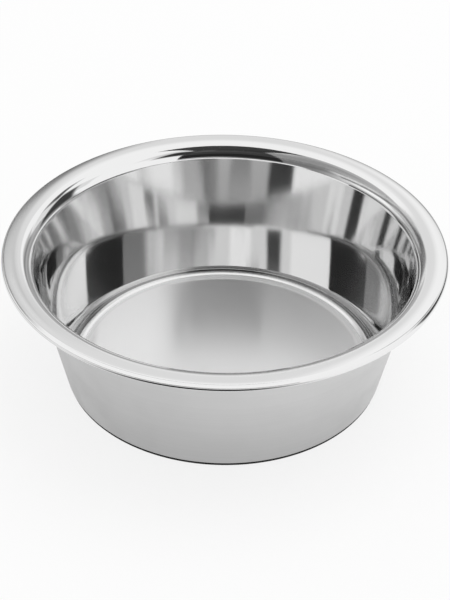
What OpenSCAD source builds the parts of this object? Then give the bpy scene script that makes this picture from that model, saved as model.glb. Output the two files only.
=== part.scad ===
// Round steel feeding bowl for a dog.
// One drawn sheet makes the floor, the wall and the rolled rim.
// A rubber ring is bonded into a channel under the floor, so that the bowl does not slide.
// The origin is on the ground under the middle of the bowl, +Z is up, and lengths are in millimetres.

/* [Bowl] */
// Diameter over the rolled edge of the rim
rim_d = 210; // [192:1:240]
// Height from the ground to the top of the rim
bowl_h = 69; // [50:1:100]
// Diameter of the wall, carried down to the ground
base_d = 154.4; // [140:0.1:164]
// Thickness of the steel sheet
sheet_t = 0.7; // [0.5:0.1:0.9]

/* [Rim] */
// Width of the rim, from its rolled edge to the line of the wall
rim_w = 12.8; // [9:0.1:16]
// Outside diameter of the rolled edge
bead_d = 3.6; // [3.4:0.1:5]
// Turn of the rolled edge, from the top of the rim round to the tucked-in raw edge
bead_turn = 270; // [200:5:280]
// Radius of the shoulder between the rim and the wall, on the polished side
shoulder_r = 8; // [5:0.5:10]
// Slope of the rim where it runs into the shoulder
rim_fall = 10; // [6:1:15]

/* [Floor] */
// Height of the ridge over the flat floor
ridge_h = 1.15; // [1:0.05:1.4]
// Slope of the ramp that climbs from the floor to the crest of the ridge
ramp_slope = 22; // [18:1:24]
// Radius of the wide bend between the floor and the ramp, on the middle of the sheet
floor_bend_r = 8; // [6:0.5:9]
// Radius of the crest of the ridge, on the middle of the sheet
crest_r = 0.9; // [0.9:0.1:1.2]
// Slope of the ridge on its outer side
ridge_outer_slope = 53; // [48:1:60]
// Radius of the corner between the floor and the wall, on the outside
corner_r = 2; // [1.5:0.1:2.2]
// Height of the flat floor's underside over the ground
floor_lift = 1.4; // [1.3:0.1:2.5]
// Height of the steel corner over the ground, filled by the lip of the rubber ring
corner_lift = 0.8; // [0.7:0.1:1]

/* [Rubber ring] */
// Distance of the lip's edge inside the line of the wall
lip_inset = 0.2; // [0:0.1:1]
// Clearance between the lip and the steel corner
lip_gap = 0.15; // [0.1:0.05:0.3]
// Width of the ring, from the lip's edge to its inner edge
ring_w = 7.5; // [6:0.1:8]
// Radius of the rounded edges of the ring
ring_edge_r = 0.25; // [0.1:0.05:0.25]
// Thickness of the adhesive over the ring
glue_t = 0.2; // [0.1:0.05:0.3]

/* [Hidden] */

// Turn of each short flat that a rounded stretch of an outline is made of
arc_step = 7.5;
// Faces round the bowl, for the preview
round_fn = 180;

// The outlines lie in the plane of the bowl's radius and its height.
// The sheet's outline follows the middle of its thickness.
half_t = sheet_t / 2;
base_r = base_d / 2;
wall_top_r = rim_d / 2 - rim_w;

// Angle between the wall and the vertical
wall_lean = atan((wall_top_r - base_r) / bowl_h);
// Radius of the middle of the wall, carried down to the ground
wall_foot_r = base_r - half_t / cos(wall_lean);

// Heights of the middle of the sheet
floor_z = floor_lift + half_t;
ridge_z = floor_z + ridge_h;
corner_mid_r = corner_r - half_t;
corner_z = corner_lift + corner_r;

// Corner between the floor and the wall
corner_x = wall_foot_r + corner_z * tan(wall_lean) - corner_mid_r / cos(wall_lean);
corner_start = [corner_x - corner_mid_r * sin(ridge_outer_slope),
                corner_z - corner_mid_r * cos(ridge_outer_slope)];

// Ridge, from its outer side inwards
crest_z = ridge_z - crest_r;
crest_end_z = crest_z + crest_r * cos(ridge_outer_slope);
crest_x = corner_start[0] - crest_r * sin(ridge_outer_slope)
    - (crest_end_z - corner_start[1]) / tan(ridge_outer_slope);
floor_bend_z = floor_z + floor_bend_r;
ramp_start_z = floor_bend_z - floor_bend_r * cos(ramp_slope);
ramp_rise = crest_z + crest_r * cos(ramp_slope) - ramp_start_z;
ramp_start_x = crest_x - crest_r * sin(ramp_slope) - ramp_rise / tan(ramp_slope);
floor_bend_x = ramp_start_x - floor_bend_r * sin(ramp_slope);

// Rolled edge of the rim
bead_r = bead_d / 2;
bead_mid_r = bead_r - half_t;
bead_x = rim_d / 2 - bead_r;
bead_z = bowl_h - bead_r;
rim_top_z = bowl_h - half_t;

// The shoulder touches the wall, and the domed rim joins the shoulder to the rolled edge.
// wall_run is the length of the wall up to the shoulder, and dome_r the radius of the dome.
shoulder_mid_r = shoulder_r - half_t;
rim_reach = bead_x - wall_foot_r - shoulder_mid_r * (cos(wall_lean) - sin(rim_fall));
rim_climb = rim_top_z - shoulder_mid_r * (cos(rim_fall) - sin(wall_lean));
solve_share = sin(wall_lean) * (1 - cos(rim_fall)) - sin(rim_fall) * cos(wall_lean);
wall_run = (rim_reach * (1 - cos(rim_fall)) - rim_climb * sin(rim_fall)) / solve_share;
dome_r = (rim_climb * sin(wall_lean) - rim_reach * cos(wall_lean)) / solve_share;
shoulder_x = wall_foot_r + wall_run * sin(wall_lean) + shoulder_mid_r * cos(wall_lean);
shoulder_z = wall_run * cos(wall_lean) - shoulder_mid_r * sin(wall_lean);

// Lip and inner edge of the rubber ring
lip_top_z = corner_lift - lip_gap;
lip_r = base_r - lip_inset;
ring_in_r = lip_r - ring_w;

// A row of stops along a bend: middle of the bend, radius to the middle of the sheet,
// and the angle of its first and last point. side is 1 where the bend's middle lies
// above the sheet, and -1 where it lies below. Each stop is a place and the sheet's upward side.
function bend(x, z, r, a0, a1, side) =
    let (n = ceil(abs(a1 - a0) / arc_step))
    [for (i = [0:n])
        let (a = a0 + (a1 - a0) * i / n)
        [x + r * cos(a), z + r * sin(a), -side * cos(a), -side * sin(a)]];

// One face of the sheet, at a distance off from the middle of its thickness
function face(stops, off) = [for (s = stops) [s[0] + off * s[2], s[1] + off * s[3]]];

// The list of points, the other way round
function backwards(points) = [for (i = [len(points) - 1:-1:0]) points[i]];

// Quarter of a circle that rounds the corner at x, z of an outline
function rounded(x, z, r, a0) =
    let (n = ceil(90 / (2 * arc_step)), mx = x - r * (cos(a0) + cos(a0 + 90)),
         mz = z - r * (sin(a0) + sin(a0 + 90)))
    [for (i = [0:n]) [mx + r * cos(a0 + 90 * i / n), mz + r * sin(a0 + 90 * i / n)]];

// The ramp and the crest are the roof of the channel that holds the rubber ring
crest_stops = bend(crest_x, crest_z, crest_r, ramp_slope + 90, 90 - ridge_outer_slope, -1);
roof_stops = concat([[ramp_start_x, ramp_start_z, -sin(ramp_slope), cos(ramp_slope)]], crest_stops);

sheet_stops = concat(
    [[0, floor_z, 0, 1]],
    bend(floor_bend_x, floor_bend_z, floor_bend_r, -90, ramp_slope - 90, 1),
    crest_stops,
    bend(corner_x, corner_z, corner_mid_r, -90 - ridge_outer_slope, -wall_lean, 1),
    bend(shoulder_x, shoulder_z, shoulder_mid_r, 180 - wall_lean, 90 + rim_fall, -1),
    bend(bead_x, rim_top_z - dome_r, dome_r, 90 + rim_fall, 90, -1),
    bend(bead_x, bead_z, bead_mid_r, 90, 90 - bead_turn, -1));

// Top of the ring under the roof of the channel, and its run down to the ring's inner edge
ring_top = face(roof_stops, -half_t - glue_t);
ring_inner_z = ring_top[0][1] - (ring_top[0][0] - ring_in_r) * tan(ramp_slope);
ring_body_r = ring_top[len(ring_top) - 1][0];

// Drawn steel sheet: floor, channel ridge, wall, shoulder, domed rim and rolled edge
module bowl_shell()
{
    color("lightgray")
        rotate_extrude($fn = round_fn)
            polygon(concat(face(sheet_stops, half_t), backwards(face(sheet_stops, -half_t))));
}

// Rubber ring: a wedge that fills the channel and a lip under the steel corner
module rubber_ring()
{
    color("black")
        rotate_extrude($fn = round_fn)
            polygon(concat(
                rounded(ring_in_r, 0, ring_edge_r, 180),
                rounded(lip_r, 0, ring_edge_r, 270),
                rounded(lip_r, lip_top_z, ring_edge_r, 0),
                [[ring_body_r, lip_top_z]],
                backwards(ring_top),
                [[ring_in_r, ring_inner_z]]));
}

// Film of adhesive between the ring and the roof of the channel
module ring_adhesive()
{
    color("goldenrod")
        rotate_extrude($fn = round_fn)
            polygon(concat(face(roof_stops, -half_t), backwards(ring_top)));
}

bowl_shell();
rubber_ring();
ring_adhesive();
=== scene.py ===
# %% [markdown]
# Stainless dog bowl, dressed for a picture
#
# The bowl is one drawn steel sheet with a rubber ring bonded under it. Its solids come packed from
# the CAD model, in metres, with the origin on the ground under the bowl and +Z up. This lesson
# builds smooth meshes over those solids, gives them real finishes, and sets up a small studio.

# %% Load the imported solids
import math
import bmesh
import bpy
from mathutils import Matrix, Vector


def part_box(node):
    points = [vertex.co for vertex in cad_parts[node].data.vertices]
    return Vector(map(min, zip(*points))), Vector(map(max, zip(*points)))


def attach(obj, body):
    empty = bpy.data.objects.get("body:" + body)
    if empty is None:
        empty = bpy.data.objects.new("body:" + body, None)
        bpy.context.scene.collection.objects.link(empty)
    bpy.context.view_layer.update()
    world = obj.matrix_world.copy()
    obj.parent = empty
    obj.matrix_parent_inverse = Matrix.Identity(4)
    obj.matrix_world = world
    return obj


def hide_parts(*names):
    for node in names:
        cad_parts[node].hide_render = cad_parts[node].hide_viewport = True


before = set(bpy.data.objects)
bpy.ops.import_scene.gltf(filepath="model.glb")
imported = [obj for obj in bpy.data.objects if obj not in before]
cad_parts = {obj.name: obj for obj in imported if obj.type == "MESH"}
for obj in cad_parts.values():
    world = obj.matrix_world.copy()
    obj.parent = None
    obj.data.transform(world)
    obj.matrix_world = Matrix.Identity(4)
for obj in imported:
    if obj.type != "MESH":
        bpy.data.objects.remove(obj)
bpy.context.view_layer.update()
print("solids:", sorted(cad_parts))

# %% [markdown]
# Sizes of the sheet
#
# A drawn bowl is a flat sheet that was bent along circles. A designer knows it by a few numbers:
# the diameter over the rim, the height, the diameter at the foot, the thickness of the sheet, and
# the radius and turn of each bend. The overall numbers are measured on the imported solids, so the
# mesh can't drift away from them. The small ones are written here, in metres and degrees.

# %% Measure the solids and name the sizes
MM = 0.001
shell_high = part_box("bowl_shell")[1]
ring_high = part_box("rubber_ring")[1]

rim_r = round(shell_high.x, 4)
rim_top = round(shell_high.z, 4)
lip_r = round(ring_high.x, 4)
lip_inset = 0.2 * MM
foot_r = lip_r + lip_inset

sheet_t = 0.7 * MM
rim_w = 12.8 * MM
bead_r = 1.8 * MM
bead_turn = 270
shoulder_r = 8 * MM
rim_fall = 10

ridge_h = 1.15 * MM
ramp_slope = 22
floor_bend_r = 8 * MM
crest_r = 0.9 * MM
ridge_outer_slope = 53
corner_r = 2 * MM
floor_lift = 1.4 * MM
corner_lift = 0.8 * MM

wall_lean = math.degrees(math.atan((rim_r - rim_w - foot_r) / rim_top))
print(f"rim radius {rim_r}, height {rim_top}, foot radius {foot_r}")
print(f"the wall leans {wall_lean:.2f} degrees")

# %% [markdown]
# Where the bends of the floor lie
#
# Each bend is an arc that touches the straight stretches on both sides of it, and all of them are
# worked out for the middle of the sheet's thickness. From the foot, the wall's line is known, so
# the corner's arc touches it from inside. The ridge of the floor follows inwards: a steep side, a
# small crest, a ramp, and a wide bend down to the flat floor. Angles are easier to read in
# degrees, so the lesson has its own sine, cosine and tangent.

# %% Work out the corner, the ridge and the floor
def sin(degrees):
    return math.sin(math.radians(degrees))


def cos(degrees):
    return math.cos(math.radians(degrees))


def tan(degrees):
    return math.tan(math.radians(degrees))


half_t = sheet_t / 2
wall_foot_r = foot_r - half_t / cos(wall_lean)

floor_z = floor_lift + half_t
ridge_z = floor_z + ridge_h
corner_mid_r = corner_r - half_t
corner_z = corner_lift + corner_r
corner_x = wall_foot_r + corner_z * tan(wall_lean) - corner_mid_r / cos(wall_lean)
corner_start_x = corner_x - corner_mid_r * sin(ridge_outer_slope)
corner_start_z = corner_z - corner_mid_r * cos(ridge_outer_slope)

crest_z = ridge_z - crest_r
crest_drop = crest_z + crest_r * cos(ridge_outer_slope) - corner_start_z
crest_x = corner_start_x - crest_r * sin(ridge_outer_slope) - crest_drop / tan(ridge_outer_slope)
floor_bend_z = floor_z + floor_bend_r
ramp_start_z = floor_bend_z - floor_bend_r * cos(ramp_slope)
ramp_end_x = crest_x - crest_r * sin(ramp_slope)
ramp_end_z = crest_z + crest_r * cos(ramp_slope)
ramp_start_x = ramp_end_x - (ramp_end_z - ramp_start_z) / tan(ramp_slope)
floor_bend_x = ramp_start_x - floor_bend_r * sin(ramp_slope)
print(f"floor flat out to {floor_bend_x:.4f}, crest at {crest_x:.4f}, corner at {corner_x:.4f}")

# %% [markdown]
# Where the bends of the rim lie
#
# At the top, the shoulder's arc touches the wall, and a wide dome leads from it to the rolled
# edge. Two unknowns remain there: how far the wall runs up, and the radius of the dome. Two
# equations, one for the radius and one for the height, give both.

# %% Work out the shoulder, the dome and the rolled edge
bead_x = rim_r - bead_r
bead_z = rim_top - bead_r
dome_top_z = rim_top - half_t
shoulder_mid_r = shoulder_r - half_t
reach = bead_x - wall_foot_r - shoulder_mid_r * (cos(wall_lean) - sin(rim_fall))
climb = dome_top_z - shoulder_mid_r * (cos(rim_fall) - sin(wall_lean))
share = sin(wall_lean) * (1 - cos(rim_fall)) - sin(rim_fall) * cos(wall_lean)
wall_run = (reach * (1 - cos(rim_fall)) - climb * sin(rim_fall)) / share
dome_r = (climb * sin(wall_lean) - reach * cos(wall_lean)) / share
shoulder_x = wall_foot_r + wall_run * sin(wall_lean) + shoulder_mid_r * cos(wall_lean)
shoulder_z = wall_run * cos(wall_lean) - shoulder_mid_r * sin(wall_lean)
print(f"dome radius {dome_r:.4f}, wall runs {wall_run:.4f}")

# %% [markdown]
# The camera
#
# The photograph looks down on the bowl at about 36 degrees from 0.8 m away, with a lens that is
# nearly a hundred millimetres long on a full frame. A long lens from that far keeps the ellipses
# of the rim and the floor calm. The camera comes first, because the finishes are judged through
# it. It is turned by under a degree about its own axis, as the photograph is.

# %% Place the camera
CAMERA_PLACE = Vector((0, -0.627, 0.4934))
CAMERA_DOWN = 36.02
CAMERA_TURN = 0.03
CAMERA_ROLL = 0.775
CAMERA_LENS = 96.43
CAMERA_SENSOR = 36
CAMERA_NEAR, CAMERA_FAR = 0.01, 20


def build_camera():
    lens = bpy.data.cameras.new("camera")
    lens.lens = CAMERA_LENS
    lens.sensor_width = CAMERA_SENSOR
    lens.clip_start = CAMERA_NEAR
    lens.clip_end = CAMERA_FAR
    camera = bpy.data.objects.new("camera", lens)
    bpy.context.scene.collection.objects.link(camera)
    turn = Matrix.Rotation(math.radians(-CAMERA_TURN), 4, "Z")
    tilt = Matrix.Rotation(math.radians(90 - CAMERA_DOWN), 4, "X")
    roll = Matrix.Rotation(math.radians(CAMERA_ROLL), 4, "Z")
    camera.matrix_world = Matrix.Translation(CAMERA_PLACE) @ turn @ tilt @ roll
    bpy.context.scene.camera = camera
    return camera


camera = build_camera()
print("camera at", tuple(round(c, 3) for c in camera.matrix_world.translation))

# %% [markdown]
# Drawing a section with spins
#
# The section of the sheet is a chain of straight runs and arcs. It could be a typed list of
# points, or a curve that is pulled into shape by hand. A bmesh can draw it the way a draughtsman
# would: one vertex is the pen, an extrude moves it in a straight line, and a spin swings it round
# the middle of a bend. That way is used here, because the arcs come out exact, each bend has as
# many steps as its turn needs, and a changed radius moves everything that follows it.

# %% Pen helpers
STEP_TURN = 3.75


def pen_line(bm, tip, x, z, cuts=1):
    """Draws straight from the pen's tip to x, z and returns the new tip."""
    start = tip.co.copy()
    for cut in range(1, cuts + 1):
        made = bmesh.ops.extrude_vert_indiv(bm, verts=[tip])
        tip = made["verts"][0]
        tip.co = start.lerp(Vector((x, 0, z)), cut / cuts)
    return tip


def pen_bend(bm, tip, x, z, turn, step_turn=STEP_TURN):
    """Swings the pen round x, z by turn degrees, anticlockwise, and returns the new tip."""
    made = bmesh.ops.spin(bm, geom=[tip], cent=(x, 0, z), axis=(0, -1, 0),
                          angle=math.radians(turn),
                          steps=max(2, math.ceil(abs(turn) / step_turn)), use_duplicate=False)
    return [part for part in made["geom_last"] if isinstance(part, bmesh.types.BMVert)][0]


# %% [markdown]
# The sheet's section
#
# The pen follows the middle of the sheet's thickness from the centre of the floor to the raw edge
# tucked inside the rolled rim. The long straight stretches get a few cuts, so that the faces
# round the bowl stay of a good shape. The wide bends are smooth enough only with finer steps.

# %% Draw the section of the sheet
FLOOR_CUTS = 4
WALL_CUTS = 6
FLOOR_BEND_STEP = 2
DOME_STEP = rim_fall / 6
BEAD_STEP = 2 * STEP_TURN


def draw_sheet_section(bm):
    tip = bm.verts.new((0, 0, floor_z))
    tip = pen_line(bm, tip, floor_bend_x, floor_z, FLOOR_CUTS)
    tip = pen_bend(bm, tip, floor_bend_x, floor_bend_z, ramp_slope, FLOOR_BEND_STEP)
    tip = pen_line(bm, tip, ramp_end_x, ramp_end_z)
    tip = pen_bend(bm, tip, crest_x, crest_z, -ramp_slope - ridge_outer_slope)
    tip = pen_line(bm, tip, corner_start_x, corner_start_z)
    tip = pen_bend(bm, tip, corner_x, corner_z, 90 + ridge_outer_slope - wall_lean)
    tip = pen_line(bm, tip, shoulder_x - shoulder_mid_r * cos(wall_lean),
                   shoulder_z + shoulder_mid_r * sin(wall_lean), WALL_CUTS)
    tip = pen_bend(bm, tip, shoulder_x, shoulder_z, -(90 - wall_lean - rim_fall))
    tip = pen_bend(bm, tip, bead_x, dome_top_z - dome_r, -rim_fall, DOME_STEP)
    return pen_bend(bm, tip, bead_x, bead_z, -bead_turn, BEAD_STEP)


sheet_bm = bmesh.new()
raw_edge = draw_sheet_section(sheet_bm)
print("section:", len(sheet_bm.verts), "points, raw edge at",
      tuple(round(c, 4) for c in raw_edge.co))

# %% [markdown]
# From section to skin
#
# A lathe makes the real bowl round, and a full spin does it here. A Screw modifier could turn the
# section too, but the operator's mesh is there at once, so that its pole can be closed and its
# faces can be counted. The first and last copy meet, so the spin merges them, and the pole in the
# middle of the floor is merged after it. The skin has no thickness yet, so nothing tells the
# normals which side is up. They are made to agree first, and are then turned to the polished
# side, if the middle of the floor looks down.

# %% Lathe the skin of the sheet
ROUND_STEPS = 256
MERGE_DISTANCE = 1e-7


def lathe(bm):
    """Spins everything in the bmesh a full turn about the bowl's axis."""
    bmesh.ops.spin(bm, geom=bm.verts[:] + bm.edges[:], cent=(0, 0, 0), axis=(0, 0, 1),
                   angle=math.tau, steps=ROUND_STEPS, use_merge=True, use_duplicate=False)
    bmesh.ops.remove_doubles(bm, verts=bm.verts[:], dist=MERGE_DISTANCE)
    bmesh.ops.recalc_face_normals(bm, faces=bm.faces[:])


lathe(sheet_bm)
floor_middle = min(sheet_bm.faces, key=lambda face: face.calc_center_median().length)
if floor_middle.normal.z <= 0:
    bmesh.ops.reverse_faces(sheet_bm, faces=sheet_bm.faces[:])
print("skin of the sheet:", len(sheet_bm.faces), "faces")

# %% [markdown]
# From skin to sheet
#
# The bowl is pressed from one sheet, which is as thick at the rim as it is in the floor. Both
# faces of it could be drawn in the section, one by one. A Solidify modifier is surer: it gives the
# skin the thickness of the sheet, half on each side, and closes the raw edge. Faces of the back
# get the next material, so the outside can have a finish of its own.
#
# A Weighted Normal modifier lets the big flat faces decide the shading next to a bend. In a
# mirror, a bend whose shading bleeds into the flat next to it would show at once.

# %% Build the sheet
def new_piece(name, bm):
    """Makes a smooth mesh object at the origin from the bmesh."""
    mesh = bpy.data.meshes.new(name)
    bm.to_mesh(mesh)
    bm.free()
    mesh.polygons.foreach_set("use_smooth", [True] * len(mesh.polygons))
    piece = bpy.data.objects.new(name, mesh)
    bpy.context.scene.collection.objects.link(piece)
    return piece


def weigh_normals(piece):
    weigh = piece.modifiers.new("weighted_normal", "WEIGHTED_NORMAL")
    weigh.mode = "FACE_AREA"
    weigh.weight = 50


def thicken(piece, thickness):
    """Gives a skin its thickness, half on each side, with the next material on its back."""
    wall = piece.modifiers.new("thickness", "SOLIDIFY")
    wall.thickness = thickness
    wall.offset = 0
    wall.use_even_offset = True
    wall.use_quality_normals = True
    wall.material_offset = 1
    wall.material_offset_rim = 1


steel_sheet = new_piece("steel_sheet", sheet_bm)
thicken(steel_sheet, sheet_t)
weigh_normals(steel_sheet)
print("steel sheet:", [modifier.name for modifier in steel_sheet.modifiers])

# %% [markdown]
# The rubber ring
#
# Under the floor lies a moulded ring of black rubber. Its body is a wedge that fills the channel
# behind the ridge, and a thin lip reaches outwards under the steel corner. The lip is what the
# bowl stands on and what shows as a thin black line under the wall. A torus would be quicker, but
# it would fill no channel. So the pen draws the real section, with the top of the wedge one film
# of adhesive below the sheet, and a bevel rounds the free corners. It does so before the lathe,
# while each corner is still a single point.

# %% Build the rubber ring
lip_gap = 0.15 * MM
ring_w = 7.5 * MM
ring_edge_r = 0.25 * MM
ring_edge_steps = 4
ring_bend_step = 7.5
glue_t = 0.2 * MM


def build_ring():
    in_r = lip_r - ring_w
    lip_z = corner_lift - lip_gap
    top_off = half_t + glue_t
    top_r = crest_r - top_off
    body_r = crest_x + top_r * sin(ridge_outer_slope)
    body_z = crest_z + top_r * cos(ridge_outer_slope)
    ramp_x = ramp_start_x + top_off * sin(ramp_slope)
    ramp_z = ramp_start_z - top_off * cos(ramp_slope)
    bm = bmesh.new()
    first = bm.verts.new((in_r, 0, 0))
    foot = pen_line(bm, first, lip_r, 0)
    lip = pen_line(bm, foot, lip_r, lip_z)
    tip = pen_line(bm, lip, body_r, lip_z)
    tip = pen_line(bm, tip, body_r, body_z)
    tip = pen_bend(bm, tip, crest_x, crest_z, ramp_slope + ridge_outer_slope, ring_bend_step)
    tip = pen_line(bm, tip, in_r, ramp_z - (ramp_x - in_r) * tan(ramp_slope))
    bm.edges.new((tip, first))
    bmesh.ops.bevel(bm, geom=[first, foot, lip], offset=ring_edge_r, offset_type="OFFSET",
                    affect="VERTICES", segments=ring_edge_steps, profile=0.5, material=-1)
    lathe(bm)
    piece = new_piece("rubber_ring_smooth", bm)
    weigh_normals(piece)
    return piece


rubber_ring = build_ring()
print("rubber ring:", len(rubber_ring.data.polygons), "faces")

# %% [markdown]
# Wiring a finish
#
# A finish could be a picture that is wrapped round the piece. Here it is a small tree of nodes
# that ends in the Principled shader, because nodes have no seam and stay sharp from close by.
# Noise gives a finish some unevenness, a Map Range turns a measure into a share, and a Math or Mix
# node puts shares together. A few helpers wire them, so that each finish reads like a recipe. An
# input takes either a plain value or the output of another node, and one helper tells the two
# apart.

# %% Node helpers
def grey(tone):
    return (tone, tone, tone, 1)


def add_node(tree, kind, **settings):
    """Adds a shader node of one kind and gives it its settings."""
    node = tree.nodes.new("ShaderNode" + kind)
    for name, value in settings.items():
        setattr(node, name, value)
    return node


def feed(tree, socket, value):
    """Wires a socket to an input, or sets the input to a plain value."""
    if isinstance(value, bpy.types.NodeSocket):
        tree.links.new(value, socket)
    else:
        socket.default_value = value


# %% Helpers for sums, ranges, mixes and noise
def add_math(tree, operation, *values):
    node = add_node(tree, "Math", operation=operation)
    for socket, value in zip(node.inputs, values):
        feed(tree, socket, value)
    return node.outputs[0]


def add_range(tree, value, span, low, high):
    """Maps a socket from the two ends of a span to low and high, with soft ends."""
    node = add_node(tree, "MapRange", interpolation_type="SMOOTHSTEP")
    for name, number in (("Value", value), ("From Min", span[0]), ("From Max", span[1]),
                         ("To Min", low), ("To Max", high)):
        feed(tree, node.inputs[name], number)
    return node.outputs[0]


def add_mix(tree, share, low, high, kind="RGBA"):
    """Mixes two colours, or two directions where the kind is VECTOR."""
    node = add_node(tree, "Mix", data_type=kind)
    for name, value in (("Factor", share), ("A", low), ("B", high)):
        feed(tree, node.inputs[name], value)
    return node.outputs["Result"]


def add_noise(tree, vector, scale, detail=2):
    node = add_node(tree, "TexNoise")
    for name, value in (("Scale", scale), ("Detail", detail), ("Vector", vector)):
        feed(tree, node.inputs[name], value)
    return node.outputs["Fac"]


# Most of a noise lies between these two values
NOISE_LOW, NOISE_HIGH = 0.3, 0.7


def spread_noise(tree, noise, low, high):
    """Maps a noise to run from low to high."""
    return add_range(tree, noise, (NOISE_LOW, NOISE_HIGH), low, high)


# %% [markdown]
# Places on a piece
#
# Patterns are laid out in Object coordinates, which are metres from the origin here. For a round
# thing, the distance from the axis and the height say more than X and Y do, and the direction
# straight outwards tells which way a blur runs.

# %% Material helpers
def new_material(name):
    """A node material with its Principled shader, ready to wire."""
    material = bpy.data.materials.new(name)
    material.use_nodes = True
    return material, material.node_tree, material.node_tree.nodes["Principled BSDF"]


def put_material(piece, *materials):
    piece.data.materials.clear()
    for material in materials:
        piece.data.materials.append(material)


def add_place(tree):
    return add_node(tree, "TexCoord").outputs["Object"]


def add_round_place(tree):
    """Place, distance from the axis, height, and the direction outwards."""
    place = add_place(tree)
    parts = add_node(tree, "SeparateXYZ")
    feed(tree, parts.inputs[0], place)
    outwards = add_node(tree, "CombineXYZ")
    feed(tree, outwards.inputs["X"], parts.outputs["X"])
    feed(tree, outwards.inputs["Y"], parts.outputs["Y"])
    length = add_node(tree, "VectorMath", operation="LENGTH")
    feed(tree, length.inputs[0], outwards.outputs[0])
    return place, length.outputs["Value"], parts.outputs["Z"], outwards.outputs[0]


def add_bump(tree, shader, height, depth):
    """Lets a socket raise the surface by up to depth."""
    node = add_node(tree, "Bump")
    feed(tree, node.inputs["Distance"], depth)
    feed(tree, node.inputs["Height"], height)
    feed(tree, shader.inputs["Normal"], node.outputs["Normal"])


# %% [markdown]
# The polished inside
#
# The inside is polished like a mirror up to the rolled edge. Polishing wheels ran round the bowl
# and left lines too fine to see, and such lines blur a reflection across them more than along
# them. That is what the anisotropy does. The blur is widest along the tangent, so the tangent
# points outwards, across the lines. A drawn sheet is never quite even either, so a very shallow
# bump lets the reflections waver a little.
#
# The flat floor is a frosted disc, which keeps the straight grain of the rolled sheet. Frosting
# blurs and scatters light that falls on it steeply, but mirrors light that skims over it, because
# its scratches look shallower from a low angle. A Layer Weight node measures that angle and takes
# the blur and the scatter away as it gets low. The scatter is a share of plain matt shading, and
# that is what a metallic value below 1 gives.
#
# A paler, more matt band runs along the disc's edge, where the floor starts to climb, and the
# crest of the ridge is worn a little matt. The narrow groove in the corner between the ridge and
# the wall is darkened in the base colour, which is painted shade.

# %% Where the zones of the inside lie
disc_r = floor_bend_x + 0.4 * MM

# Each span is where a zone fades in or out, as a distance from the axis
DISC_END = (disc_r - 0.3 * MM, disc_r)
BAND_START = (disc_r - 1.8 * MM, disc_r - 1.3 * MM)
BAND_END = (disc_r + 1.3 * MM, disc_r + 2.6 * MM)
CREST_START = (crest_x - 1.2 * MM, crest_x - 0.6 * MM)
CREST_END = (corner_x - 0.8 * MM, corner_x - 0.4 * MM)
GROOVE_SHADE_START = (corner_x - 1.2 * MM, corner_x - 0.5 * MM)

# The painted groove shade ends at a height instead, and the frost ends as the view gets low
GROOVE_SHADE_TOP = (corner_z - 0.9 * MM, corner_z - 0.5 * MM)
FROST_VIEW = (0.45, 0.75)


def add_zone(tree, start_of, start, end_of, end, strength=1):
    """A share that fades in over one span and out over another."""
    return add_math(tree, "MULTIPLY", add_range(tree, start_of, start, 0, strength),
                    add_range(tree, end_of, end, 1, 0))


print(f"satin disc out to {disc_r:.4f}, dark groove from {GROOVE_SHADE_START[0]:.4f}")

# %% Make the polished finish
MIRROR_STEEL = grey(0.86)
DISC_STEEL = grey(0.96)
# Painted shade: the dark base colour of the corner groove
GROOVE_SHADE = grey(0.3)
MIRROR_ROUGHNESS = (0.05, 0.07)
MIRROR_ANISOTROPY = 0.5
MIRROR_WAVER = 25
MIRROR_BUMP = 0.03 * MM
DISC_BLUR = 0.3
DISC_FROST = 0.28
BAND_FROST = 0.42
CREST_SHARE = 0.6
SHEET_GRAIN = (1, 0, 0)


def make_polished():
    material, tree, shader = new_material("polished_steel")
    place, radius, height, outwards = add_round_place(tree)
    disc = add_range(tree, radius, DISC_END, 1, 0)
    # Painted shade: the corner between the ridge and the wall is darkened in the base colour
    painted_groove_shade = add_zone(tree, radius, GROOVE_SHADE_START, height, GROOVE_SHADE_TOP)
    bright = add_mix(tree, disc, MIRROR_STEEL, DISC_STEEL)
    feed(tree, shader.inputs["Base Color"], add_mix(tree, painted_groove_shade, bright, GROOVE_SHADE))

    cloud = add_noise(tree, place, MIRROR_WAVER)
    shine = spread_noise(tree, cloud, *MIRROR_ROUGHNESS)
    skim = add_node(tree, "LayerWeight").outputs["Facing"]
    band = add_zone(tree, radius, BAND_START, radius, BAND_END)
    crest = add_zone(tree, radius, CREST_START, radius, CREST_END, CREST_SHARE)
    frosted = add_math(tree, "MAXIMUM", add_math(tree, "MAXIMUM", disc, band), crest)
    frost = add_math(tree, "MULTIPLY_ADD", band, BAND_FROST, DISC_FROST)
    satin = add_math(tree, "MULTIPLY", frosted, add_range(tree, skim, FROST_VIEW, 1, 0))
    blur = add_math(tree, "MULTIPLY_ADD", satin, DISC_BLUR, shine)
    feed(tree, shader.inputs["Roughness"], blur)
    matt = add_math(tree, "MULTIPLY", satin, frost)
    feed(tree, shader.inputs["Metallic"], add_math(tree, "SUBTRACT", 1, matt))

    shader.inputs["Anisotropic"].default_value = MIRROR_ANISOTROPY
    grain = add_mix(tree, disc, outwards, SHEET_GRAIN, "VECTOR")
    feed(tree, shader.inputs["Tangent"], grain)
    add_bump(tree, shader, cloud, MIRROR_BUMP)
    return material


polished_steel = make_polished()
print("polished steel:", len(polished_steel.node_tree.nodes), "nodes")

# %% [markdown]
# The satin outside
#
# The outside has a coarser satin, spun in rings, and no polish. The rings are a noise that is
# read along the section only, so it changes with the height and the distance from the axis, and
# stays the same all the way round. It tints the steel and raises it by a few thousandths of a
# millimetre. The satin also gets paler as the wall climbs, which is painted shade: it is darker
# towards the foot.

# %% Make the satin finish and dress the sheet
SATIN_DARK = grey(0.42)
SATIN_PALE = grey(0.66)
SATIN_ROUGHNESS = (0.3, 0.4)
SATIN_CLOUD = 60
# Painted shade: the satin is darker towards the foot and paler higher up
FOOT_SHADE_SPAN = (-0.02, 0.06)
FOOT_SHADE_SHARE = 0.8
RING_SCALE = 900
RING_DETAIL = 3
RING_SHARE = 0.2
RING_BUMP = 0.005 * MM


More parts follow.
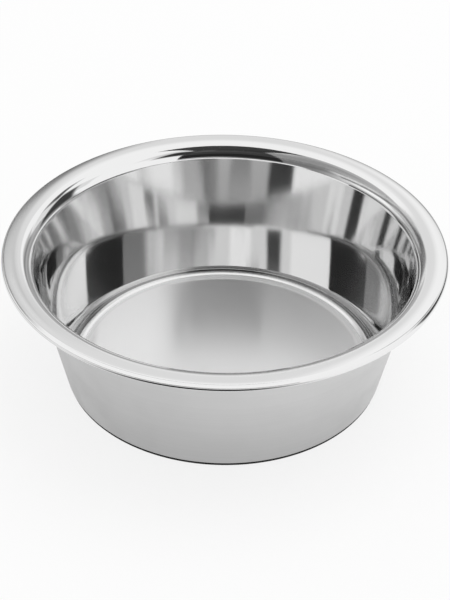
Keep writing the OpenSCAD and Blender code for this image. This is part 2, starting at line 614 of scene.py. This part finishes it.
def add_rings(tree, radius, height):
    """Noise that changes along the section only, as lines spun round the bowl do."""
    section = add_node(tree, "CombineXYZ")
    feed(tree, section.inputs["X"], radius)
    feed(tree, section.inputs["Z"], height)
    return add_noise(tree, section.outputs[0], RING_SCALE, RING_DETAIL)


def make_satin():
    material, tree, shader = new_material("satin_steel")
    place, radius, height = add_round_place(tree)[:3]
    shader.inputs["Metallic"].default_value = 1
    rings = add_rings(tree, radius, height)
    # Painted shade: the base colour gets paler as the wall climbs, darker towards the foot
    climb = add_range(tree, height, FOOT_SHADE_SPAN, 0, FOOT_SHADE_SHARE)
    tone = add_math(tree, "MULTIPLY_ADD", rings, RING_SHARE, climb)
    feed(tree, shader.inputs["Base Color"], add_mix(tree, tone, SATIN_DARK, SATIN_PALE))
    cloud = add_noise(tree, place, SATIN_CLOUD)
    feed(tree, shader.inputs["Roughness"], spread_noise(tree, cloud, *SATIN_ROUGHNESS))
    add_bump(tree, shader, rings, RING_BUMP)
    return material


satin_steel = make_satin()
put_material(steel_sheet, polished_steel, satin_steel)
print("steel sheet wears:", [material.name for material in steel_sheet.data.materials])

# %% [markdown]
# Rubber and adhesive
#
# The rubber is matt, nearly black, and has a fine moulded grain, which a very fine noise draws and
# a bump raises. The adhesive is a cloudy, honey-coloured film. It is hidden in the finished bowl,
# but someone who takes the bowl apart sees it, so it gets a finish as well.

# %% Make the finishes of the ring and the adhesive
RUBBER_DARK = grey(0.008)
RUBBER_PALE = grey(0.018)
RUBBER_ROUGHNESS = (0.5, 0.75)
RUBBER_CLOUD = 150
RUBBER_GRAIN = 4000
RUBBER_BUMP = 0.03 * MM
GLUE_DARK = (0.45, 0.34, 0.16, 1)
GLUE_PALE = (0.62, 0.5, 0.27, 1)
GLUE_ROUGHNESS = (0.25, 0.45)
GLUE_CLOUD = 200


def make_rubber():
    material, tree, shader = new_material("black_rubber")
    place = add_place(tree)
    cloud = add_noise(tree, place, RUBBER_CLOUD)
    grain = add_noise(tree, place, RUBBER_GRAIN)
    feed(tree, shader.inputs["Base Color"], add_mix(tree, cloud, RUBBER_DARK, RUBBER_PALE))
    feed(tree, shader.inputs["Roughness"], spread_noise(tree, grain, *RUBBER_ROUGHNESS))
    add_bump(tree, shader, grain, RUBBER_BUMP)
    return material


def make_adhesive():
    material, tree, shader = new_material("clear_adhesive")
    cloud = add_noise(tree, add_place(tree), GLUE_CLOUD)
    feed(tree, shader.inputs["Base Color"], add_mix(tree, cloud, GLUE_DARK, GLUE_PALE))
    feed(tree, shader.inputs["Roughness"], spread_noise(tree, cloud, *GLUE_ROUGHNESS))
    return material


put_material(rubber_ring, make_rubber())
put_material(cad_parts["ring_adhesive"], make_adhesive())
print("finishes:", sorted(material.name for material in bpy.data.materials))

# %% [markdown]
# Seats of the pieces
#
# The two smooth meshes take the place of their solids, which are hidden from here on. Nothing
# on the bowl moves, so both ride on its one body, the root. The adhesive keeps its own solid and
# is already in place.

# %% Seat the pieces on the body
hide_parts("bowl_shell")
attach(steel_sheet, "root")
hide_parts("rubber_ring")
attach(rubber_ring, "root")
print("seated:", steel_sheet.name, "and", rubber_ring.name)

# %% [markdown]
# The paper
#
# The bowl stands on pale paper, which keeps its shadow. A disc of paper is enough, because it
# reaches past the edges of the picture, and a curved backdrop would only show in the steel. A matt
# sheet under soft light would come out grey, so the paper is made whiter: where a direct or
# mirrored view meets it, a part of what shows is a plain white glow, and the rest is the paper
# with the bowl's shadow on it. The Light Path node tells such views from the soft light that the
# paper throws on matt things.

# %% Lay the paper
PAPER_R = 3
PAPER_SIDES = 96
PAPER_TONE = grey(0.92)
PAPER_ROUGHNESS = 0.9
PAPER_GLOW = 0.8


def add_clear_rays(tree):
    """1 for direct, mirrored and transmitted rays, and 0 for the soft light on matt things."""
    rays = add_node(tree, "LightPath").outputs
    direct = add_math(tree, "MAXIMUM", rays["Is Camera Ray"], rays["Is Glossy Ray"])
    return add_math(tree, "MAXIMUM", direct, rays["Is Transmission Ray"])


def mix_shaders(tree, share, first, second, surface):
    """Leads a mix of two shaders to the surface input of an output node."""
    mix = add_node(tree, "MixShader")
    for socket, value in zip(mix.inputs, (share, first, second)):
        feed(tree, socket, value)
    feed(tree, surface, mix.outputs[0])


def build_paper():
    bm = bmesh.new()
    bmesh.ops.create_circle(bm, cap_ends=True, radius=PAPER_R, segments=PAPER_SIDES)
    floor = new_piece("studio_floor", bm)
    material, tree, shader = new_material("floor_paper")
    shader.inputs["Base Color"].default_value = PAPER_TONE
    shader.inputs["Roughness"].default_value = PAPER_ROUGHNESS
    shader.inputs["Specular IOR Level"].default_value = 0
    glow = add_node(tree, "Emission")
    share = add_math(tree, "MULTIPLY", add_clear_rays(tree), PAPER_GLOW)
    mix_shaders(tree, share, shader.outputs[0], glow.outputs[0],
                tree.nodes["Material Output"].inputs["Surface"])
    material.cycles.emission_sampling = "NONE"
    put_material(floor, material)
    return floor


studio_floor = build_paper()
print("paper:", tuple(round(c, 1) for c in studio_floor.dimensions))

# %% [markdown]
# The light
#
# A white world lights everything softly, and one large lamp above gives the shadow on the paper
# its direction. More lamps would only add more shadows. Direct views and mirrored views see the
# world at full white, while matt things get a little less of it, so that nothing burns out. The
# lamp lights matt things only, so no square patch of it shows in the steel.

# %% Light the set
WHITE = grey(1)
SEEN_STRENGTH = 1
SOFT_STRENGTH = 0.85
LAMP_PLACE = (0.5, 0.3, 1.6)
LAMP_SIZE = 1.2
LAMP_POWER = 6


def build_world():
    world = bpy.data.worlds.new("studio")
    bpy.context.scene.world = world
    world.use_nodes = True
    tree = world.node_tree
    seen = tree.nodes["Background"]
    soft = add_node(tree, "Background")
    for background, strength in ((seen, SEEN_STRENGTH), (soft, SOFT_STRENGTH)):
        background.inputs["Color"].default_value = WHITE
        background.inputs["Strength"].default_value = strength
    mix_shaders(tree, add_clear_rays(tree), soft.outputs[0], seen.outputs[0],
                tree.nodes["World Output"].inputs["Surface"])
    return world


def build_lamp():
    """A square softbox that looks at the bowl."""
    light = bpy.data.lights.new("top_softbox", "AREA")
    light.size = LAMP_SIZE
    light.energy = LAMP_POWER
    lamp = bpy.data.objects.new("top_softbox", light)
    bpy.context.scene.collection.objects.link(lamp)
    lamp.location = LAMP_PLACE
    lamp.rotation_euler = (-Vector(LAMP_PLACE)).to_track_quat("-Z", "Y").to_euler()
    lamp.visible_camera = False
    lamp.visible_glossy = False
    return lamp


studio_world = build_world()
top_lamp = build_lamp()
print("light:", studio_world.name, "and", top_lamp.name)

# %% [markdown]
# Flags round the set
#
# Polished steel has no look of its own: it shows what stands around it. A photographer shapes it
# inside a white tent with flags, which are dark cloths, and nets, which are thin ones. A picture
# of a studio could be wrapped round the scene instead, but flags can be moved and trimmed one by
# one. Only mirrored rays see them here, so they shade neither the paper nor the picture.
#
# A flag's cloth is a glow of one tone. Its cover falls off softly towards its edges, because a
# cloth near a small bowl is far out of focus. The cover is written on the mesh as an attribute,
# and the cloth mixes the glow with a clear shader by it.

# %% Cloth and hanging
def make_cloth(name, tone):
    """A glow of one tone, clear where the cover attribute of the mesh is 0."""
    material = bpy.data.materials.new(name)
    material.use_nodes = True
    tree = material.node_tree
    tree.nodes.clear()
    cover = add_node(tree, "Attribute", attribute_name="cover")
    clear = add_node(tree, "BsdfTransparent")
    glow = add_node(tree, "Emission")
    glow.inputs["Color"].default_value = grey(tone)
    output = add_node(tree, "OutputMaterial")
    mix_shaders(tree, cover.outputs["Fac"], clear.outputs[0], glow.outputs[0],
                output.inputs["Surface"])
    material.cycles.emission_sampling = "NONE"
    return material


def hang_flag(name, bm, tone, cover_at):
    """Makes a flag that only mirrored rays see, with a cover worked out from each point's place."""
    flag = new_piece(name, bm)
    cover = flag.data.attributes.new("cover", "FLOAT", "POINT")
    for vertex in flag.data.vertices:
        cover.data[vertex.index].value = cover_at(vertex.co)
    put_material(flag, make_cloth(name + "_cloth", tone))
    flag.visible_camera = False
    flag.visible_diffuse = False
    flag.visible_transmission = False
    flag.visible_volume_scatter = False
    flag.visible_shadow = False
    return flag


# %% [markdown]
# The gap in the tent
#
# The camera looks in through the gap between two walls of the tent, and that dark gap is the
# black bar in the bowl. It is a stack of cards across the gap, from the ground up, and a strip of
# dark ceiling over the bowl. The cards stand in the camera's view, but only mirrored rays meet
# them.

# %% Hang the gap
CARD_CUTS = 12
GAP_LEFT, GAP_RIGHT = -0.3, 0.245
GAP_Y = -0.41
CEILING_Z = 1.19
CEILING_END_Y = 0.28


def build_card(name, corners, tone, cover_at=lambda place: 1):
    """A plain card through the given corners, in small faces."""
    bm = bmesh.new()
    bm.faces.new([bm.verts.new(corner) for corner in corners])
    bmesh.ops.subdivide_edges(bm, edges=bm.edges[:], cuts=CARD_CUTS, use_grid_fill=True)
    return hang_flag(name, bm, tone, cover_at)


def gap_card(name, low, high, tone, cover=1):
    """A card across the gap, between two heights."""
    return build_card(name, [(GAP_LEFT, GAP_Y, low), (GAP_RIGHT, GAP_Y, low),
                             (GAP_RIGHT, GAP_Y, high), (GAP_LEFT, GAP_Y, high)],
                      tone, lambda place: cover)


def ceiling_card():
    return build_card("tent_gap_ceiling", [(GAP_LEFT, GAP_Y, CEILING_Z),
                                           (GAP_RIGHT, GAP_Y, CEILING_Z),
                                           (GAP_RIGHT, CEILING_END_Y, CEILING_Z),
                                           (GAP_LEFT, CEILING_END_Y, CEILING_Z)], 0.05)


gap = [gap_card("tent_gap_foot", 0, 0.2, 0.02, 0.5),
       gap_card("tent_gap_dark", 0.2, 0.45, 0.02),
       gap_card("tent_gap_middle", 0.45, 0.75, 0.05),
       gap_card("tent_gap_top", 0.75, CEILING_Z, 0.12),
       ceiling_card()]
print("gap:", [card.name for card in gap])

# %% [markdown]
# Collars at the rim
#
# Two narrow collars hang close round the front of the rim. A bright one keeps the rolled edge
# light, and a dark one under it draws the thin line along its lower side. Far flags can't do this,
# because the rolled edge turns so tightly that it shows nearly the whole set in one thin strip.
# The pen draws the sections of the collars, and a spin sweeps them from one bearing to another.
# Bearings are in degrees: 0 is behind the bowl and 90 is on its right, so the front is at 180.

# %% Hang the collars
FLAG_STEP = 2.5
PEN_BEARING = 90


def ease(share):
    """0 below 0, 1 above 1, and a smooth rise between."""
    share = min(1, max(0, share))
    return share * share * (3 - 2 * share)


def bearing_of(place):
    return math.degrees(math.atan2(place.x, place.y))


def sweep(bm, drawn_at, bearings):
    """Turns a section from where it was drawn to the first bearing, and spins it to the second."""
    start, end = bearings
    bmesh.ops.rotate(bm, verts=bm.verts[:], cent=(0, 0, 0),
                     matrix=Matrix.Rotation(math.radians(drawn_at - start), 3, "Z"))
    bmesh.ops.spin(bm, geom=bm.verts[:] + bm.edges[:], cent=(0, 0, 0), axis=(0, 0, 1),
                   angle=math.radians(start - end), steps=math.ceil((end - start) / FLAG_STEP),
                   use_duplicate=False)


def build_collar(name, section, bearings, tone, soft):
    """A strip through the section's points, with ends that fade over soft degrees."""
    start, end = bearings
    bm = bmesh.new()
    tip = bm.verts.new((section[0][0], 0, section[0][1]))
    for x, z in section[1:]:
        tip = pen_line(bm, tip, x, z)
    sweep(bm, PEN_BEARING, bearings)

    def cover_at(place):
        bearing = bearing_of(place) % 360
        return ease(min(bearing - start, end - bearing) / soft)

    return hang_flag(name, bm, tone, cover_at)


collars = [build_collar("bright_collar", [(0.12, 0.069), (0.12, 0.084), (0.0995, 0.086)],
                        (110, 250), 1, 15),
           build_collar("dark_collar", [(0.1065, 0.055), (0.135, 0.055)], (148, 226), 0.03, 28)]
print("collars:", [collar.name for collar in collars])

# %% [markdown]
# A net on the paper
#
# The paper in front of the bowl and on its left looks a little darker in the outer wall than the
# paper on its right. A thin net that lies just over the paper does that. It fades away towards the
# right and the back.

# %% Lay the net on the paper
NET_Z = 0.002
NET_START, NET_END = -0.5, 0.1
NET_COVER = 0.15
NET_FADE_X, NET_FADE_Y = 0.25, 0.1


def net_cover(place):
    return (NET_COVER * ease((NET_END - place.x) / NET_FADE_X)
            * ease((NET_END - place.y) / NET_FADE_Y))


paper_net = build_card("paper_net", [(NET_START, NET_START, NET_Z), (NET_END, NET_START, NET_Z),
                                     (NET_END, NET_END, NET_Z), (NET_START, NET_END, NET_Z)],
                       0.02, net_cover)
print("net on the paper:", paper_net.name)

# %% [markdown]
# Flags on a sphere
#
# The other flags are patches of a sphere round the bowl. The outline of each goes through corners
# that are given by their bearing and their height in degrees. The patch is a little larger than
# the outline, and each of its points is covered by how far inside the outline it lies. A ray cast
# sideways from the point crosses the outline an odd number of times if it starts inside.

# %% Flag helpers
LOWEST, HIGHEST = 1, 88


def draw_patch(bearings, heights, radius):
    """A patch of a sphere between two bearings and two heights, in small faces."""
    low, high = heights
    bm = bmesh.new()
    pen = bm.verts.new((0, radius * cos(low), radius * sin(low)))
    bmesh.ops.spin(bm, geom=[pen], cent=(0, 0, 0), axis=(1, 0, 0),
                   angle=math.radians(high - low), steps=math.ceil((high - low) / FLAG_STEP),
                   use_duplicate=False)
    sweep(bm, 0, bearings)
    return bm


def edge_distance(x, y, corners):
    """Distance from a point to the outline through the corners, negative outside it."""
    inside, nearest = False, math.inf
    for (ax, ay), (bx, by) in zip(corners, corners[1:] + corners[:1]):
        run = (x - ax) * (bx - ax) + (y - ay) * (by - ay)
        run = min(1, max(0, run / ((bx - ax) ** 2 + (by - ay) ** 2)))
        nearest = min(nearest, math.hypot(ax + run * (bx - ax) - x, ay + run * (by - ay) - y))
        if (ay > y) != (by > y) and x < ax + (y - ay) * (bx - ax) / (by - ay):
            inside = not inside
    return nearest if inside else -nearest


def build_flag(name, tone, cover, soft, radius, corners):
    """A flag whose cover falls off over soft degrees, half of them inside its outline."""
    bearings, heights = zip(*corners)
    bm = draw_patch((min(bearings) - soft / 2, max(bearings) + soft / 2),
                    (max(LOWEST, min(heights) - soft / 2), min(HIGHEST, max(heights) + soft / 2)),
                    radius)
    middle = (min(bearings) + max(bearings)) / 2

    def cover_at(place):
        height = math.degrees(math.asin(place.z / radius))
        bearing = bearing_of(place)
        bearing += 360 * round((middle - bearing) / 360)
        return cover * ease(0.5 + edge_distance(bearing, height, corners) / soft)

    return hang_flag(name, bm, tone, cover_at)


# %% [markdown]
# The plan of the set
#
# One row of the table is one flag: its name, the tone of its cloth, how much of the light the
# cloth covers, how many degrees its edge is soft, its distance in metres, and its corners. A thick
# cloth has a cover near 1, and a thinner one adds a grey tint.

# %% Hang the flags
FLAGS = [
    ("right_back_flag", 0.05, 1, 4, 1.2,
     [(45, 6), (80, 6), (78, 24), (73, 41), (57, 41), (52, 26)]),
    ("right_high_flag", 0.1, 1, 4, 0.6, [(30, 43), (30, 54), (40, 56), (47, 46), (46, 43)]),
    ("right_back_net", 0.02, 0.5, 6, 0.6, [(4, 22), (10, 33), (24, 36), (30, 22)]),
    ("back_low_net", 0.02, 0.55, 6, 1, [(-12, 5), (-12, 25), (52, 25), (52, 5)]),
    ("left_low_net", 0.02, 0.4, 12, 0.6, [(-52, 5), (-52, 26), (-26, 26), (-26, 5)]),
    ("left_back_flag", 0.02, 0.75, 8, 0.5,
     [(-24, 8), (-12, 8), (-10, 33), (-16, 39), (-30, 36), (-44, 40), (-40, 32), (-28, 24)]),
    ("front_right_net", 0.03, 1, 8, 0.6, [(127, 49), (127, 72), (150, 72), (150, 49)]),
    ("left_front_net", 0.02, 0.5, 14, 0.8, [(-152, 27), (-152, 48), (-108, 48), (-108, 27)]),
    ("left_streak", 0.02, 0.65, 3, 0.8, [(-104, 26), (-104, 34), (-60, 36), (-60, 31)]),
    ("left_middle_net", 0.02, 0.35, 5, 0.6, [(-84, 33), (-84, 41), (-43, 41), (-43, 33)]),
    ("left_back_net", 0.02, 0.35, 12, 0.6, [(-62, 20), (-62, 44), (-22, 44), (-22, 20)]),
    ("left_far_net", 0.02, 0.8, 50, 0.8, [(-190, -30), (-190, 46), (-106, 46), (-106, -30)]),
    ("left_high_net", 0.02, 0.54, 8, 0.9, [(-190, 43), (-190, 76), (-30, 76), (-40, 43)]),
    ("front_high_net", 0.02, 0.35, 20, 0.95, [(118, 54), (118, 74), (300, 74), (300, 54)]),
    ("broad_left_net", 0.02, 0.2, 6, 1.3, [(-100, 26), (-100, 43), (6, 43), (6, 26)]),
    ("broad_right_net", 0.02, 0.2, 6, 1.3, [(34, 26), (34, 43), (88, 43), (88, 26)]),
    ("horizon_band", 0.3, 0.8, 8, 0.7, [(-100, -10), (-100, 14), (80, 14), (80, -10)]),
]

flags = [build_flag(*row) for row in FLAGS]
print("flags and nets:", len(flags))

# %% [markdown]
# Picture settings
#
# The Standard view shows a colour about as it is written. Rays that enter between the wall and
# the rim are mirrored many times before they leave, so mirrored rays may bounce more often than
# they do by default.

# %% Set the picture
GLOSSY_BOUNCES = 10

bpy.context.scene.view_settings.view_transform = "Standard"
bpy.context.scene.cycles.glossy_bounces = GLOSSY_BOUNCES
print("mirrored rays bounce up to", GLOSSY_BOUNCES, "times")
